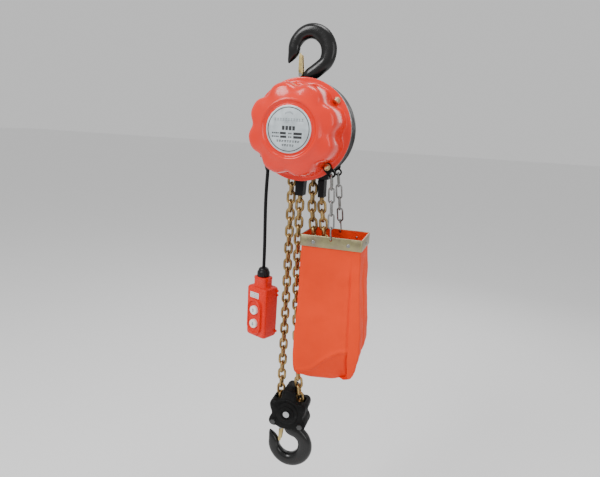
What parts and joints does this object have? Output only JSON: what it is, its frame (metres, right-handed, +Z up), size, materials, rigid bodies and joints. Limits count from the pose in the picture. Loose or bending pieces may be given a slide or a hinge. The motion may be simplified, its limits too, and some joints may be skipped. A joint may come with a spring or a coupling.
{
  "type": "chain hoist",
  "caption": "Electric chain hoist with a lobed cover, swivel hooks with safety latches, a sheave block, a cloth chain bag and a push-button pendant.",
  "frame": {"origin": "centre of the top hook's bowl, on its swivel axis", "axes": "+Z up along the swivel axis, -Y out of the nameplate, +X towards the chain bag"},
  "size_m": [0.2746, 0.266, 0.9512],
  "materials": {
    "cover_enamel": "glossy orange-red enamel",
    "nameplate_foil": null,
    "yellow_zinc": "yellow zinc plated steel",
    "bright_zinc": "bright zinc plated steel",
    "black_casting": "semi-gloss black enamel on a casting",
    "black_sheet": "satin black sheet steel",
    "black_rubber": "matt black rubber",
    "black_nylon": "black nylon",
    "machined_steel": "machined steel",
    "cast_iron": "machined cast iron",
    "brake_lining": "moulded friction lining",
    "copper_winding": "varnished windings and laminations",
    "chain_bronze": "yellow-bronze plated chain steel",
    "hook_black": "gloss black enamel on forged steel",
    "latch_zinc": "yellow zinc plated pressed steel",
    "block_hardware": "blackened steel bolts",
    "rim_zinc": "olive-yellow zinc plated strip",
    "bag_cloth": "bright orange coated woven cloth",
    "pendant_enamel": "orange-red plastic with a fine speckle",
    "button_white": "off-white plastic",
    "contact_block": "moulded insulating plastic"
  },
  "bodies": {
    "hoist_body": {"front_cover": "cover_enamel", "nameplate": "nameplate_foil", "cover_bolts": "yellow_zinc", "gear_plate": "bright_zinc", "frame": "black_casting", "chain_guide": "black_nylon", "chain_end_boots": "black_rubber", "sheave_bearings": "machined_steel", "gear_bridge": "machined_steel", "brake_magnet": "cast_iron", "motor_housing": "black_casting", "stator": "copper_winding", "motor_end_cover": "black_casting", "fan_cowl": "black_sheet", "control_box": "black_casting", "control_box_lid": "black_sheet", "contactors": "contact_block", "cable_gland": "black_nylon", "inlet_gland": "black_nylon", "bag_lug_front": "black_casting", "bag_lug_rear": "black_casting", "top_thrust_bearing": "machined_steel", "sheave_chain": "chain_bronze", "slack_fall": "chain_bronze", "tail_fall": "chain_bronze"},
    "drive_shaft": {"drive_shaft": "machined_steel", "rotor": "machined_steel", "brake_disc": "brake_lining", "cooling_fan": "black_nylon"},
    "disc_gear_right": {"disc_gear_right": "machined_steel"},
    "disc_gear_left": {"disc_gear_left": "machined_steel"},
    "load_sheave": {"load_sheave": "cast_iron", "load_gear": "machined_steel"},
    "top_hook": {"top_hook": "hook_black", "top_hook_nut": "machined_steel", "top_latch_pin": "bright_zinc"},
    "top_latch": {"top_latch": "latch_zinc"},
    "hook_block": {"block_front_half": "black_casting", "block_rear_half": "black_casting", "block_bolts": "block_hardware", "block_axle": "machined_steel", "live_fall": "chain_bronze", "dead_fall": "chain_bronze"},
    "block_sheave": {"block_sheave": "cast_iron"},
    "bottom_hook": {"bottom_hook": "hook_black", "bottom_latch_pin": "bright_zinc"},
    "bottom_latch": {"bottom_latch": "latch_zinc"},
    "pendant": {"pendant_cable": "black_rubber", "pendant_case": "pendant_enamel", "pendant_back_cover": "pendant_enamel", "pendant_gland": "black_nylon", "switch_block": "contact_block"},
    "up_button": {"up_button": "button_white"},
    "down_button": {"down_button": "button_white"},
    "chain_bag": {"bag_rim": "rim_zinc", "bag_rivets": "bright_zinc", "chain_bag": "bag_cloth", "bag_chains": "bright_zinc", "chain_heap": "chain_bronze"}
  },
  "joints": [
    {"name": "drive_shaft_turn", "type": "hinge", "parent": "hoist_body", "child": "drive_shaft", "pos_m": [0, 0, -0.151], "axis": [0, -1, 0], "continuous": true, "deforming": ["sheave_chain"]},
    {"name": "disc_gear_right_turn", "type": "hinge", "parent": "hoist_body", "child": "disc_gear_right", "pos_m": [0.03994, 0, -0.13802], "axis": [0, -1, 0], "continuous": true},
    {"name": "disc_gear_left_turn", "type": "hinge", "parent": "hoist_body", "child": "disc_gear_left", "pos_m": [-0.03994, 0, -0.16398], "axis": [0, -1, 0], "continuous": true},
    {"name": "load_sheave_turn", "type": "hinge", "parent": "hoist_body", "child": "load_sheave", "pos_m": [0, 0, -0.151], "axis": [0, -1, 0], "continuous": true},
    {"name": "top_hook_swivel", "type": "hinge", "parent": "hoist_body", "child": "top_hook", "pos_m": [0, 0, -0.06], "axis": [0, 0, 1], "continuous": true},
    {"name": "top_latch_swing", "type": "hinge", "parent": "top_hook", "child": "top_latch", "pos_m": [-0.0156, 0, -0.047], "axis": [0, 1, 0], "range_deg": [0, 30], "stiffness_Nm_per_rad": 0.1, "springref_deg": -17.19},
    {"name": "hook_lift", "type": "slide", "parent": "hoist_body", "child": "hook_block", "axis": [0, 0, 1], "range_m": [0, 0.075], "deforming": ["live_fall", "dead_fall"]},
    {"name": "block_sheave_turn", "type": "hinge", "parent": "hook_block", "child": "block_sheave", "pos_m": [0, 0, -0.7609], "axis": [0, -1, 0], "continuous": true},
    {"name": "bottom_hook_swivel", "type": "hinge", "parent": "hook_block", "child": "bottom_hook", "pos_m": [0, 0, -0.79], "axis": [0, 0, 1], "continuous": true},
    {"name": "bottom_latch_swing", "type": "hinge", "parent": "bottom_hook", "child": "bottom_latch", "pos_m": [-0.0175, 0, -0.8109], "axis": [0, -1, 0], "range_deg": [0, 30], "stiffness_Nm_per_rad": 0.1, "springref_deg": -17.19},
    {"name": "pendant_swing", "type": "hinge", "parent": "hoist_body", "child": "pendant", "pos_m": [-0.091, 0.038, -0.239], "axis": [1, 0, 0], "range_deg": [-20, 20], "deforming": ["pendant_cable"]},
    {"name": "up_button_press", "type": "slide", "parent": "pendant", "child": "up_button", "axis": [0.3987, 0.9171, 0], "range_m": [0, 0.004], "stiffness_N_per_m": 300},
    {"name": "down_button_press", "type": "slide", "parent": "pendant", "child": "down_button", "axis": [0.3987, 0.9171, 0], "range_m": [0, 0.004], "stiffness_N_per_m": 300},
    {"name": "bag_swing", "type": "hinge", "parent": "hoist_body", "child": "chain_bag", "pos_m": [0.067, 0, -0.23], "axis": [0, -1, 0], "range_deg": [0, 12], "deforming": ["slack_fall", "tail_fall"]}
  ],
  "couplings": [
    {"joint": "disc_gear_right_turn", "follows": "drive_shaft_turn", "ratio": -0.2},
    {"joint": "disc_gear_left_turn", "follows": "drive_shaft_turn", "ratio": -0.2},
    {"joint": "load_sheave_turn", "follows": "drive_shaft_turn", "ratio": 0.04}
  ]
}
